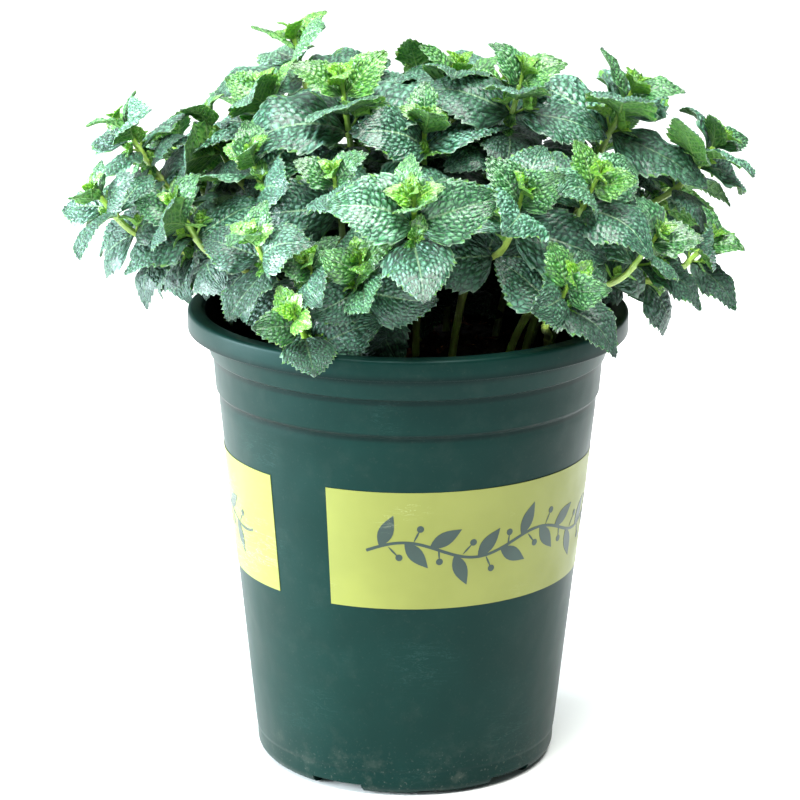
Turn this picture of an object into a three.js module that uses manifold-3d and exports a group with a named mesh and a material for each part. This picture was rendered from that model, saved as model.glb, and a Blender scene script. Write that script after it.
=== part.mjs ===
// A bushy mint plant growing in its nursery pot. Millimetres, +Z up, front towards -Y.
// The origin is the middle of the ring that the pot stands on.
import * as THREE from "three";
import { mergeVertices } from "three/addons/utils/BufferGeometryUtils.js";
import Module from "manifold-3d";

const wasm = await Module();
wasm.setup();

// ---- Driving dimensions ----

const GAP = 0.3; // left between solids that touch on the real plant

// Pot
const POT_HEIGHT = 180;
const RIM_RADIUS = 85;
const RIM_INNER_RADIUS = 78.4;
const RIM_THICKNESS = 2.6;
const RIM_ROUND = 1.6;
const SKIRT_DEPTH = 8;
const SKIRT_THICKNESS = 2;
const SKIRT_CHANNEL = 3.5;
const WALL = 1.4;
const FOOT_RADIUS = 54.2;
const FOOT_RING_WIDTH = 4.2;
const FLOOR_LIFT = 5;
const FLOOR_THICKNESS = 1.5;
const FLOOR_TOP = FLOOR_LIFT + FLOOR_THICKNESS;
const CORNER_ROUND = 5;
const CORNER_END = -6; // degrees where the round of the bottom corner stops, just under the ridge
const CORNER_FILL = 0.9; // extra thickness of the wall in the bottom corner
const RIDGE_HEIGHT = 11;
const RIDGE_RADIUS = 59.3;
const RIDGE_STEP = 0.4; // how far the ridge stands out from the corner under it
const TAPER = 0.1045; // outward run for each millimetre of height
const SHOULDER_HEIGHT = 143.6; // top of the plain wall
const GROOVE_HEIGHT = 146;
const GROOVE_RADIUS = 72;
const BAND_BOTTOM = 149.4;
const BAND_BOTTOM_RADIUS = 74.3;
const BAND_TOP = 161.6;
const BAND_TOP_RADIUS = 75.5;
const NECK_BOTTOM = 163.2;
const NECK_BOTTOM_RADIUS = 76.6;
const NECK_MIDDLE_RADIUS = 78.8; // where the skirt of the rim ends
const NECK_TOP_RADIUS = 79.4;
const POT_SEGMENTS = 40;

// Drain slots through the foot, wide and narrow ones in turn
const SLOT_COUNT = 5;
const FIRST_SLOT_ANGLE = -117; // degrees from +X, so 27 degrees left of the front
const WIDE_SLOT = { width: 21, height: 4, reach: 18 };
const NARROW_SLOT = { width: 8, height: 2, reach: 10 };
const SLOT_OVERRUN = 6; // how far a slot runs out past the foot, through the corner

// Soil
const SOIL_EDGE = 157;
const SOIL_SHOULDER = 159.4;
const SOIL_CROWN = 161;
const SOIL_INSET = 0.4; // between the soil's edge and the wall
const SHOULDER_SHARE = 0.6; // of the way out to the soil's edge
const STEM_DEPTH = 10; // how far a stem runs down into the soil

// Stems, square in section as on every mint
const STEM_WIDTH = 2.9;
const BRANCH_WIDTH = 2.3;
const FORK_RISE = 0.45; // how far up to its shoots a stem forks
const FORK_SPREAD = 0.26; // how far out to its shoots a stem forks
const TRUNK_BEND = 8; // height above the soil's edge where a stem starts to lean
const BRANCH_OVERLAP = 2; // length of a branch that runs inside its stem
const BRANCH_PULL = 0.36; // of its length that a branch keeps to the line of its stem and of its shoot
const TRUNK_STEPS = 3;
const BRANCH_STEPS = 5;

// Leafy shoots: pairs of opposite leaves, each pair square to the one below it
const LEAN = 40; // degrees that a shoot over the edge of the plant leans outwards
const LEAN_RADIUS = 130;
const LOW_LEAN = 0.3; // further degrees for each millimetre that a tip is below LOW_TIP
const LOW_TIP = 232;
const AXIS_LENGTH = 0.62; // of the shoot's longest leaf
const AXIS_RADIUS = 1.15;
const BUD_RADIUS = 2.6;
const BUD_LENGTH = 8;
const PAIRS = [
  { along: 0.05, length: 1.12, pitch: 2, rows: 3, columns: 2 },
  { along: 0.36, length: 0.98, pitch: 18, rows: 3, columns: 2 },
  { along: 0.64, length: 0.64, pitch: 40, rows: 2, columns: 2 },
];

// A leaf is a thin plate: rows across it at shares of its length, half as wide as a share of its width
const LEAF_THICKNESS = 0.8;
const LEAF_WIDTH = 0.66; // of its length
const LEAF_BOW = 0.1; // rise of its middle above the line from foot to tip
const LEAF_FOLD = 0.22; // rise of its edge above its midrib
const LEAF_OUTLINE = {
  3: { at: [0, 0.4, 0.76, 1], half: [0.03, 1, 0.62, 0.03] },
  2: { at: [0, 0.46, 1], half: [0.05, 1, 0.04] },
};

// Ways in which a leaf makes room for its neighbours: first it turns, then it is a smaller leaf
const SHRINK = [1, 0.88, 0.76, 0.64, 0.52];
const TURN_ASIDE = [0, 12, -12, 24, -24];
const TILT = [0, 12, -12, 24, 36];

// Every stem: where it leaves the soil, then its shoots as [tip x, tip y, tip z, longest leaf, turn].
// The turn, in degrees from +X, is where the lowest pair of leaves points.
const STEMS = [
  { foot: [-17, -31], shoots: [[-41, -76, 194, 32, 195], [-37, -64, 213, 28, 190]] },
  { foot: [-4, -27], shoots: [[-18, -72, 215, 28, 5], [2, -77, 240, 34, -84]] },
  { foot: [-20, -16], shoots: [[-57, -60, 221, 28, 60], [-28, -44, 242, 28, 176]] },
  { foot: [-35, -12], shoots: [[-88, -30, 227, 29, 172], [-60, -20, 244, 28, 100]] },
  { foot: [-50, 0], shoots: [[-119, -22, 230, 24, -125], [-112, 12, 250, 26, 35]] },
  { foot: [-34, 9], shoots: [[-79, 20, 251, 29, 62], [-56, 16, 264, 30, 168]] },
  { foot: [-16, 5], shoots: [[-26, -5, 270, 37, 4], [-46, 43, 279, 32, 22]] },
  { foot: [16, -14], shoots: [[43, -8, 274, 31, 176], [42, -62, 240, 33, -14]] },
  { foot: [36, -17], shoots: [[70, -50, 243, 29, -35], [94, -38, 219, 31, -5]] },
  { foot: [44, 3], shoots: [[86, 5, 266, 36, -10], [119, 0, 247, 26, 38]] },
  { foot: [54, 15], shoots: [[106, 26, 231, 27, 80], [116, -16, 212, 24, -22]] },
  { foot: [4, 20], shoots: [[4, 60, 266, 31, 72], [19, 22, 270, 34, 20]] },
  { foot: [-33, 27], shoots: [[-96, 48, 237, 28, 140], [-66, 70, 247, 31, 35]] },
  { foot: [-10, 40], shoots: [[-22, 82, 244, 31, 110], [-44, 87, 214, 29, 100]] },
  { foot: [15, 41], shoots: [[14, 85, 229, 30, 82], [40, 66, 255, 33, 10]] },
  { foot: [34, 32], shoots: [[56, 85, 215, 28, 45], [80, 58, 240, 32, 125]] },
  { foot: [-49, 30], shoots: [[-80, 78, 216, 27, 130], [-112, 32, 219, 25, 160]] },
  { foot: [3, -2], shoots: [[6, -16, 257, 32, 95]] },
  { foot: [53, -12], shoots: [[60, -76, 210, 29, -35]] },
  { foot: [47, 26], shoots: [[106, 52, 217, 27, 60]] },
];

const GREEN = new THREE.MeshStandardMaterial({ color: 0x3c6f4c, roughness: 0.5 });
const STALK = new THREE.MeshStandardMaterial({ color: 0x8fa35c, roughness: 0.45 });
const POT_PLASTIC = new THREE.MeshStandardMaterial({ color: 0x3a6b66, roughness: 0.42 });
const POTTING_MIX = new THREE.MeshStandardMaterial({ color: 0x2b211a, roughness: 0.95 });

// ---- Solids and geometry ----

const radians = THREE.MathUtils.degToRad;

// A closed geometry as a solid that can be joined, cut and measured.
function solidFrom(geometry) {
  const bare = geometry.index ? geometry.toNonIndexed() : geometry.clone();
  bare.deleteAttribute("normal");
  bare.deleteAttribute("uv");
  const merged = mergeVertices(bare, 1e-4);
  const mesh = new wasm.Mesh({
    numProp: 3,
    vertProperties: merged.attributes.position.array,
    triVerts: new Uint32Array(merged.index.array),
  });
  return new wasm.Manifold(mesh);
}

function geometryFrom(solid) {
  const mesh = solid.getMesh();
  const flat = new THREE.BufferGeometry();
  flat.setAttribute("position", new THREE.BufferAttribute(new Float32Array(mesh.vertProperties), 3));
  flat.setIndex(new THREE.BufferAttribute(new Uint32Array(mesh.triVerts), 1));
  flat.computeVertexNormals();
  return flat;
}

// A turned solid from [radius, height] points, about the Z axis.
function turned(points, segments) {
  const profile = points.map(([radius, height]) => new THREE.Vector2(radius, height));
  return new THREE.LatheGeometry(profile, segments).rotateX(Math.PI / 2);
}

// ---- Pot ----

const wallRadius = (height) => RIDGE_RADIUS + TAPER * (height - RIDGE_HEIGHT);

// Points of a quarter round from one angle to another, in degrees.
function rounding(centreRadius, centreHeight, radius, from, to, steps) {
  const points = [];
  for (let i = 0; i <= steps; i++) {
    const angle = radians(from + ((to - from) * i) / steps);
    points.push([centreRadius + radius * Math.cos(angle), centreHeight + radius * Math.sin(angle)]);
  }
  return points;
}

// The inside of the pot wall, from the floor up to the neck.
const INNER_WALL = [
  [FOOT_RADIUS + CORNER_ROUND - WALL - CORNER_FILL, FLOOR_TOP],
  [wallRadius(RIDGE_HEIGHT) - WALL, RIDGE_HEIGHT],
  [wallRadius(SHOULDER_HEIGHT) - WALL, SHOULDER_HEIGHT - 1],
  [GROOVE_RADIUS - WALL, GROOVE_HEIGHT - 1],
  [GROOVE_RADIUS - WALL, GROOVE_HEIGHT + 1],
  [BAND_BOTTOM_RADIUS - WALL, BAND_BOTTOM + 0.6],
  [BAND_TOP_RADIUS - WALL, BAND_TOP + 0.4],
  [NECK_BOTTOM_RADIUS - WALL, NECK_BOTTOM + 0.4],
];

function potShell() {
  const skirtBottom = POT_HEIGHT - SKIRT_DEPTH;
  const skirtInner = RIM_RADIUS - SKIRT_THICKNESS;
  const neckTop = POT_HEIGHT - RIM_THICKNESS;
  return solidFrom(
    turned(
      [
        [0, FLOOR_LIFT],
        [FOOT_RADIUS - FOOT_RING_WIDTH, FLOOR_LIFT],
        [FOOT_RADIUS - FOOT_RING_WIDTH, 0],
        ...rounding(FOOT_RADIUS, CORNER_ROUND, CORNER_ROUND, -90, CORNER_END, 4),
        [RIDGE_RADIUS - RIDGE_STEP, RIDGE_HEIGHT - 1],
        [RIDGE_RADIUS, RIDGE_HEIGHT],
        [wallRadius(SHOULDER_HEIGHT), SHOULDER_HEIGHT],
        [GROOVE_RADIUS, GROOVE_HEIGHT - 1],
        [GROOVE_RADIUS, GROOVE_HEIGHT + 1],
        [BAND_BOTTOM_RADIUS, BAND_BOTTOM],
        [BAND_TOP_RADIUS, BAND_TOP],
        [NECK_BOTTOM_RADIUS, NECK_BOTTOM],
        [NECK_MIDDLE_RADIUS, skirtBottom],
        [NECK_TOP_RADIUS, neckTop],
        [NECK_TOP_RADIUS + SKIRT_CHANNEL, neckTop],
        [skirtInner, skirtBottom],
        [RIM_RADIUS, skirtBottom],
        ...rounding(RIM_RADIUS - RIM_ROUND, POT_HEIGHT - RIM_ROUND, RIM_ROUND, 0, 90, 3),
        ...rounding(RIM_INNER_RADIUS + RIM_ROUND, POT_HEIGHT - RIM_ROUND, RIM_ROUND, 90, 180, 2),
        [NECK_MIDDLE_RADIUS - WALL, skirtBottom],
        ...INNER_WALL.toReversed(),
        [0, FLOOR_TOP],
      ],
      POT_SEGMENTS,
    ),
  );
}

function drainSlot(slot, angle) {
  const block = new THREE.BoxGeometry(slot.reach, slot.width, slot.height + 1);
  block.translate(FOOT_RADIUS + SLOT_OVERRUN - slot.reach / 2, 0, (slot.height - 1) / 2);
  return solidFrom(block.rotateZ(radians(angle)));
}

function pot() {
  let shell = potShell();
  const spacing = 360 / SLOT_COUNT;
  for (let i = 0; i < SLOT_COUNT; i++) {
    const angle = FIRST_SLOT_ANGLE + i * spacing;
    shell = shell.subtract(drainSlot(WIDE_SLOT, angle));
    shell = shell.subtract(drainSlot(NARROW_SLOT, angle + spacing / 2));
  }
  return shell;
}

// ---- Stems ----

const vector = (x, y, z) => new THREE.Vector3(x, y, z);

// The direction in which a shoot grows, from where its tip is.
function shootDirection(tip) {
  const reach = Math.hypot(tip.x, tip.y);
  const low = Math.max(0, LOW_TIP - tip.z);
  const lean = radians((LEAN * reach) / LEAN_RADIUS + LOW_LEAN * low);
  const outward = vector(tip.x / reach, tip.y / reach, 0);
  return outward.multiplyScalar(Math.sin(lean)).add(vector(0, 0, Math.cos(lean)));
}

// A shoot's own measures: where its axis starts, its direction, and the length of its longest leaf.
function planShoot([x, y, z, leaf, turn]) {
  const tip = vector(x, y, z);
  const direction = shootDirection(tip);
  const axis = AXIS_LENGTH * leaf;
  return { start: tip.clone().addScaledVector(direction, -axis), direction, axis, leaf, turn };
}

function squareRod(curve, width, steps) {
  const half = width / 2;
  const section = new THREE.Shape([
    new THREE.Vector2(-half, -half),
    new THREE.Vector2(half, -half),
    new THREE.Vector2(half, half),
    new THREE.Vector2(-half, half),
  ]);
  return solidFrom(new THREE.ExtrudeGeometry(section, { steps, extrudePath: curve }));
}

// The curves of one stem: the part from the soil to the fork, and a branch to each shoot.
function stemCurves(foot, shoots) {
  const ground = vector(foot[0], foot[1], SOIL_EDGE);
  const middle = vector(0, 0, 0);
  shoots.forEach((shoot) => middle.addScaledVector(shoot.start, 1 / shoots.length));
  const climb = middle.clone().sub(ground);
  const fork = ground.clone().add(vector(climb.x * FORK_SPREAD, climb.y * FORK_SPREAD, climb.z * FORK_RISE));
  const bend = vector(foot[0], foot[1], SOIL_EDGE + TRUNK_BEND);
  const bottom = vector(foot[0], foot[1], SOIL_EDGE - STEM_DEPTH);
  const upward = fork.clone().sub(bend).normalize();
  const trunk = new THREE.QuadraticBezierCurve3(bottom, bend, fork);
  const branches = shoots.map((shoot) => {
    const from = fork.clone().addScaledVector(upward, -BRANCH_OVERLAP);
    const pull = BRANCH_PULL * from.distanceTo(shoot.start);
    return new THREE.CubicBezierCurve3(
      from,
      from.clone().addScaledVector(upward, pull),
      shoot.start.clone().addScaledVector(shoot.direction, -pull),
      shoot.start,
    );
  });
  return { trunk, branches };
}

function stemSolid({ trunk, branches }, extra) {
  const rods = branches.map((curve) => squareRod(curve, BRANCH_WIDTH + extra, BRANCH_STEPS));
  return rods.reduce((whole, rod) => whole.add(rod), squareRod(trunk, STEM_WIDTH + extra, TRUNK_STEPS));
}

// ---- Soil ----

function soil(stems) {
  const side = INNER_WALL.filter(([, height]) => height < SOIL_EDGE).map(([radius, height]) => [
    radius - SOIL_INSET,
    Math.max(height, FLOOR_TOP + GAP),
  ]);
  const edgeRadius = BAND_TOP_RADIUS - WALL - 2 * SOIL_INSET;
  let ball = solidFrom(
    turned(
      [
        [0, FLOOR_TOP + GAP],
        ...side,
        [edgeRadius, SOIL_EDGE],
        [edgeRadius * SHOULDER_SHARE, SOIL_SHOULDER],
        [0, SOIL_CROWN],
      ],
      POT_SEGMENTS,
    ),
  );
  stems.forEach((curves) => {
    const { v0, v1, v2 } = curves.trunk;
    const deeper = v0.clone().add(vector(0, 0, -GAP));
    const socket = new THREE.QuadraticBezierCurve3(deeper, v1, v2);
    ball = ball.subtract(squareRod(socket, STEM_WIDTH + 2 * GAP, TRUNK_STEPS));
  });
  return ball;
}

// ---- Leaves ----

// A leaf blade from its foot to its tip. Its upper face looks towards "up".
function leafBlade(foot, tip, up, { rows, columns }) {
  const outline = LEAF_OUTLINE[rows];
  const along = tip.clone().sub(foot);
  const length = along.length();
  const side = up.clone().cross(along).normalize();
  const face = along.clone().cross(side).normalize();
  const plate = new THREE.BoxGeometry(1, 1, 1, rows, columns, 1);
  const place = plate.attributes.position;
  for (let i = 0; i < place.count; i++) {
    const row = Math.round((place.getX(i) + 0.5) * rows);
    const share = outline.at[row];
    const across = place.getY(i) * LEAF_WIDTH * length * outline.half[row];
    const bow = 4 * LEAF_BOW * length * share * (1 - share);
    const rise = bow + LEAF_FOLD * Math.abs(across) + place.getZ(i) * LEAF_THICKNESS;
    const point = foot.clone().addScaledVector(along, share);
    point.addScaledVector(side, across).addScaledVector(face, rise);
    place.setXYZ(i, point.x, point.y, point.z);
  }
  return solidFrom(plate);
}

// Two directions square to a shoot's axis, the first as near +X as it can be.
function squareTo(direction) {
  const first = vector(1, 0, 0).addScaledVector(direction, -direction.x).normalize();
  return [first, direction.clone().cross(first)];
}

// The shoot's bare axis with the closed bud on its end.
function shootAxis({ start, direction, axis }) {
  const neck = axis - BUD_LENGTH;
  const core = turned(
    [
      [0, GAP],
      [AXIS_RADIUS, GAP],
      [AXIS_RADIUS, neck],
      [BUD_RADIUS, neck + 0.4 * BUD_LENGTH],
      [0, axis],
    ],
    4,
  );
  const upright = new THREE.Quaternion().setFromUnitVectors(vector(0, 0, 1), direction);
  return solidFrom(core.applyQuaternion(upright).translate(start.x, start.y, start.z));
}

// The first of a leaf's possible places that is clear of every solid around it, or nothing.
function clearLeaf(shoot, pair, heading, others) {
  const [east, north] = squareTo(shoot.direction);
  const foot = shoot.start.clone().addScaledVector(shoot.direction, shoot.axis * pair.along);
  for (const shrink of SHRINK) {
    for (const tilt of TILT) {
      for (const aside of TURN_ASIDE) {
        const angle = radians(heading + aside);
        const pitch = radians(pair.pitch + tilt);
        const reach = east.clone().multiplyScalar(Math.cos(angle)).addScaledVector(north, Math.sin(angle));
        reach.multiplyScalar(Math.cos(pitch)).addScaledVector(shoot.direction, Math.sin(pitch));
        const tip = foot.clone().addScaledVector(reach, shoot.leaf * pair.length * shrink);
        const blade = leafBlade(foot, tip, shoot.direction, pair);
        if (isClear(blade, others)) return blade;
      }
    }
  }
  return null;
}

function boxesNear(a, b, margin) {
  return [0, 1, 2].every((i) => a.min[i] - margin < b.max[i] && b.min[i] - margin < a.max[i]);
}

function isClear(solid, others) {
  const box = solid.boundingBox();
  return others.every(
    (other) => !boxesNear(box, other.boundingBox(), GAP) || solid.minGap(other, 1) > GAP,
  );
}

// Every shoot's leaves, lowest pairs first, each kept clear of the pot, the soil, the stems and the others.
function growLeaves(shoots, firm) {
  const crowns = shoots.map(shootAxis);
  PAIRS.forEach((pair, tier) => {
    shoots.forEach((shoot, own) => {
      [0, 180].forEach((opposite) => {
        const others = [...firm, ...crowns.filter((crown, i) => i !== own)];
        const blade = clearLeaf(shoot, pair, shoot.turn + 90 * tier + opposite, others);
        if (blade) crowns[own] = crowns[own].add(blade);
      });
    });
  });
  return crowns;
}

// ---- The whole plant ----

const plant = new THREE.Group();

function addPart(name, solid, material) {
  const mesh = new THREE.Mesh(geometryFrom(solid), material);
  mesh.name = name;
  plant.add(mesh);
}

const numbered = (word, i) => word + "_" + String(i + 1).padStart(2, "0");

const planned = STEMS.map(({ foot, shoots }) => ({ foot, shoots: shoots.map(planShoot) }));
const curves = planned.map(({ foot, shoots }) => stemCurves(foot, shoots));
const potSolid = pot();
const soilSolid = soil(curves);
const stemSolids = curves.map((curve) => stemSolid(curve, 0));
const crowns = growLeaves(
  planned.flatMap((stem) => stem.shoots),
  [potSolid, soilSolid, ...stemSolids],
);

addPart("pot", potSolid, POT_PLASTIC);
addPart("soil", soilSolid, POTTING_MIX);
stemSolids.forEach((solid, i) => addPart(numbered("stem", i), solid, STALK));
crowns.forEach((solid, i) => addPart(numbered("leaves", i), solid, GREEN));

export default plant;
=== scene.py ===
import math

import bmesh
import bpy
import numpy as np
from mathutils import Matrix, Vector, noise
from mathutils.bvhtree import BVHTree
from numpy.linalg import norm, svd


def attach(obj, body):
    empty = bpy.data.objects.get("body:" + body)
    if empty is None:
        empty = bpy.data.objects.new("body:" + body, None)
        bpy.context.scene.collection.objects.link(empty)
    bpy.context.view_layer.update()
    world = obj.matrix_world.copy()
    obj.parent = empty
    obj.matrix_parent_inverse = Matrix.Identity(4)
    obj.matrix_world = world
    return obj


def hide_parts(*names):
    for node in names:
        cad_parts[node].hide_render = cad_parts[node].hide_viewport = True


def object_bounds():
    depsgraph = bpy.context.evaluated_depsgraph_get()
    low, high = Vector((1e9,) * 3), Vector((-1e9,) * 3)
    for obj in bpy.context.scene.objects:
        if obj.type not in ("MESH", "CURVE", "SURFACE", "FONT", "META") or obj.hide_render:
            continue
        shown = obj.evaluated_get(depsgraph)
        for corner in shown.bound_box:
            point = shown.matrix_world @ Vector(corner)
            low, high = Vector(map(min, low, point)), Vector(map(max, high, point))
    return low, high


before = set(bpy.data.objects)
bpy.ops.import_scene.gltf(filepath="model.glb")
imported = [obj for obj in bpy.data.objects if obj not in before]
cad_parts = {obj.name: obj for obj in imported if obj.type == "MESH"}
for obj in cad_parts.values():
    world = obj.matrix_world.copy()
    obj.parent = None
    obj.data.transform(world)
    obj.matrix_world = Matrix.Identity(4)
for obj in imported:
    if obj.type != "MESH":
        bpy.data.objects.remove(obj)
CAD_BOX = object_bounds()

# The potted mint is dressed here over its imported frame. Lengths are in millimetres until a mesh is made.

MM = 0.001
UP = np.array([0.0, 0.0, 1.0])

# ---- What the frame says ----

SOIL_EDGE = 157.0
TRUNK_BEND, TRUNK_STEPS = 8.0, 26
FORK_RISE, FORK_SPREAD = 0.45, 0.26
BRANCH_OVERLAP, BRANCH_PULL, BRANCH_STEPS = 2.0, 0.36, 44
AXIS_LENGTH = 0.62  # of a shoot's longest leaf
LEAF_PAIRS = [(0.05, 1.12, 2.0), (0.36, 0.98, 18.0), (0.64, 0.64, 40.0)]  # along the axis, length, pitch
TIP_CORNERS, TIP_SPREAD, TIPS_APART = 4, 1.2, 3.0  # a leaf's tip is so many corners this close together
ON_AXIS, ABOVE_START = 0.12, 8.0  # mm: how near the axis its end lies, and how far it is at least

STEM_NAMES = sorted(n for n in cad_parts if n.startswith("stem_"))
CROWN_NAMES = sorted(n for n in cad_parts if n.startswith("leaves_"))


def points_of(node):
    """The distinct corners of a CAD node, in millimetres."""
    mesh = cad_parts[node].data
    flat = np.empty(len(mesh.vertices) * 3)
    mesh.vertices.foreach_get("co", flat)
    return np.unique(np.round(flat.reshape(-1, 3) / MM, 2), axis=0)


def unit(v):
    return v / norm(v)


def swung(a, b, angle):
    """A direction between two that are square to each other."""
    return a * math.cos(angle) + b * math.sin(angle)


def squares_of(grid):
    """The four corners of each square in a grid, as four grids."""
    return grid[:-1, :-1], grid[:-1, 1:], grid[1:, 1:], grid[1:, :-1]


def squares_to(direction):
    """Two directions square to a shoot's axis."""
    first = unit(np.array([1.0, 0, 0]) - direction * direction[0])
    return first, np.cross(direction, first)


def far_ends(points, base, direction, leaf_length):
    """Where the leaves of a shoot end: a few corners close together, well away from its axis."""
    along = (points - base) @ direction
    out = norm(points - base - np.outer(along, direction), axis=1)
    ends = []
    for i in np.argsort(-out):
        if out[i] < 0.2 * leaf_length:
            break
        close = norm(points - points[i], axis=1) < TIP_SPREAD
        if close.sum() < TIP_CORNERS:
            continue
        place = points[close].mean(0)
        if all(norm(place - e) > TIPS_APART for e in ends):
            ends.append(place)
    return ends


def read_crown(name, stems):
    """A shoot as the frame holds it: its stem, start, direction and length, and each leaf's tier, foot
    and tip."""
    points = points_of(name)
    found = []
    for stem, corners in stems.items():
        gaps = norm(corners[:, None] - points[None], axis=2).min(1)
        nearest = np.argsort(gaps)[:4]
        found.append((gaps[nearest].sum(), stem, corners[nearest]))
    _, stem, cap = min(found, key=lambda f: f[0])
    start = cap.mean(0)
    direction = svd(cap - start)[2][2]
    if (points.mean(0) - start) @ direction < 0:
        direction = -direction
    along = (points - start) @ direction
    off = norm(points - start - np.outer(along, direction), axis=1)
    axis = along[(off < ON_AXIS) & (along > ABOVE_START)].min()
    longest = axis / AXIS_LENGTH
    places = []
    for share, length, pitch in LEAF_PAIRS:
        pitch = math.radians(pitch)
        places.append((length * math.cos(pitch), share * AXIS_LENGTH + length * math.sin(pitch)))
    leaves = []
    for tip in far_ends(points, start, direction, longest):
        height = (tip - start) @ direction
        out = norm(tip - start - height * direction)
        misses = [math.hypot(out / longest - a, height / longest - b) for a, b in places]
        tier = int(np.argmin(misses))
        leaves.append({"tier": tier, "tip": tip, "miss": min(misses)})
    for tier in (2, 1):
        same = sorted((l for l in leaves if l["tier"] == tier), key=lambda l: l["miss"])
        for extra in same[2:]:
            extra["tier"] = tier - 1
    for l in leaves:
        l["foot"] = start + direction * axis * LEAF_PAIRS[l["tier"]][0]
    return {
        "name": name, "stem": stem, "start": start, "direction": direction,
        "axis": axis, "longest": longest, "leaves": leaves,
    }


def run_along(line):
    """How far along a line each of its points lies."""
    return np.concatenate([[0], np.cumsum(norm(np.diff(line, axis=0), axis=1))])


def bezier(controls, steps):
    """Points of a Bezier curve with three or four controls."""
    t = np.linspace(0, 1, steps + 1)[:, None]
    while len(controls) > 1:
        controls = [a + (b - a) * t for a, b in zip(controls, controls[1:])]
    return controls[0]


def read_stem(corners, crowns):
    """A stem's own lines: the part from the soil to the fork, and a branch to each of its shoots."""
    lowest = corners[corners[:, 2] < corners[:, 2].min() + 0.5]
    foot = lowest[:, :2].mean(0)
    ground = np.array([*foot, SOIL_EDGE])
    climb = np.mean([c["start"] for c in crowns], axis=0) - ground
    fork = ground + climb * np.array([FORK_SPREAD, FORK_SPREAD, FORK_RISE])
    bend = ground + UP * TRUNK_BEND
    bottom = np.array([*foot, lowest[:, 2].min()])
    upward = unit(fork - bend)
    trunk = bezier([bottom, bend, fork], TRUNK_STEPS)
    branches = []
    for crown in crowns:
        begin = fork - upward * BRANCH_OVERLAP
        pull = BRANCH_PULL * norm(crown["start"] - begin)
        end = crown["start"]
        controls = [begin, begin + upward * pull, end - crown["direction"] * pull, end]
        branches.append(bezier(controls, BRANCH_STEPS))
    return {"trunk": trunk, "branches": branches, "crowns": crowns}


# ---- Building pieces ----


def placed_object(name, data):
    made = bpy.data.objects.new(name, data)
    bpy.context.scene.collection.objects.link(made)
    return made


def plain_piece(name, points, faces, material=None):
    """An object in metres, from corners in millimetres."""
    mesh = bpy.data.meshes.new(name)
    mesh.from_pydata((np.asarray(points) * MM).tolist(), [], [list(map(int, f)) for f in faces])
    mesh.shade_smooth()
    if material:
        mesh.materials.append(material)
    return placed_object(name, mesh)


def paint(mesh, name, domain, values):
    """Four values for each corner or point, for the finishes to read."""
    layer = mesh.color_attributes.new(name=name, type="FLOAT_COLOR", domain=domain)
    layer.data.foreach_set("color", values.astype(np.float32).ravel())


class Skin:
    """Triangles gathered into one piece. Each face corner keeps where it lies on a flat chart of its
    surface, where it lies on a leaf, how that spot has grown, and how much painted shade darkens it."""

    FLAT_LOOKS = ("blade", "veins")
    GROWN_LOOKS = ("growth", "habit")

    def __init__(self):
        self.points, self.faces, self.charts, self.sizes, self.crisp = [], [], [], [], []
        self.looks = {k: [] for k in self.FLAT_LOOKS + self.GROWN_LOOKS}
        self.count = 0

    def add_points(self, points):
        first = self.count
        self.points.append(points)
        self.count += len(points)
        return first

    def put(self, faces, chart, looks):
        """Faces with one row of chart and looks for each of their corners."""
        low = chart.reshape(-1, 2).min(0)
        self.faces.append(faces)
        self.charts.append(chart.reshape(-1, 2) - low)
        self.sizes.append(chart.reshape(-1, 2).max(0) - low)
        for key, table in self.looks.items():
            wide = 2 if key in self.FLAT_LOOKS else 4
            table.append(looks[key] if key in looks else np.zeros((faces.size, wide)))

    def add_faces(self, first, faces, chart, looks):
        """Faces over points already added, with one row of chart and looks for each point."""
        given = {k: v[faces.ravel()] for k, v in looks.items()}
        self.put(faces + first, chart[faces], given)

    def packed(self):
        """All the charts side by side in one square: rows of charts, tallest first."""
        pad, slack = 0.7, 1.04
        room = math.sqrt(sum((w + pad) * (h + pad) for w, h in self.sizes)) * slack
        room = max(room, max(w for w, _ in self.sizes) + 2 * pad)
        x, y, row, right = pad, pad, 0.0, 0.0
        places = [None] * len(self.sizes)
        for i in sorted(range(len(self.sizes)), key=lambda k: -self.sizes[k][1]):
            w, h = self.sizes[i]
            if x + w + pad > room:
                x, y, row = pad, y + row + pad, 0.0
            places[i] = (x, y)
            x += w + pad
            row = max(row, h)
            right = max(right, x)
        scale = 1 / max(right, y + row + pad)
        return np.concatenate([(c + p) * scale for c, p in zip(self.charts, places)])

    def made(self, name, material):
        """The piece itself, with its charts and looks."""
        points = np.concatenate(self.points)
        piece = plain_piece(name, points, np.concatenate(self.faces), material)
        mesh = piece.data
        maps = {"OFBake": self.packed()}
        maps.update({k: np.concatenate(self.looks[k]) for k in self.FLAT_LOOKS})
        for key, values in maps.items():
            mesh.uv_layers.new(name=key).data.foreach_set("uv", values.astype(np.float32).ravel())
        for key in self.GROWN_LOOKS:
            paint(mesh, key, "CORNER", np.concatenate(self.looks[key]))
        if self.crisp:  # the leaves' margins, where the face and the underside meet
            on_margin = np.zeros(len(points), bool)
            on_margin[np.concatenate(self.crisp)] = True
            ends = np.empty(len(mesh.edges) * 2, np.int32)
            mesh.edges.foreach_get("vertices", ends)
            layer = mesh.attributes.new("sharp_edge", "BOOLEAN", "EDGE")
            layer.data.foreach_set("value", on_margin[ends.reshape(-1, 2)].all(1))
        return piece

    def tree(self):
        """The skin as a search tree, for keeping other leaves clear of it."""
        return BVHTree.FromPolygons(np.concatenate(self.points).tolist(), np.concatenate(self.faces).tolist())


def fours(count, *values):
    """Four values for each of so many points, as one table."""
    return np.stack([np.broadcast_to(np.asarray(v, float), (count,)) for v in values], axis=1)


def settle(piece, slot, *nodes):
    """Puts a finished piece on the plant's one body, in the place of the CAD nodes that it stands for."""
    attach(piece, "root")
    if nodes:
        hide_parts(*nodes)
    return piece


# ---- Leaves ----

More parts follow.
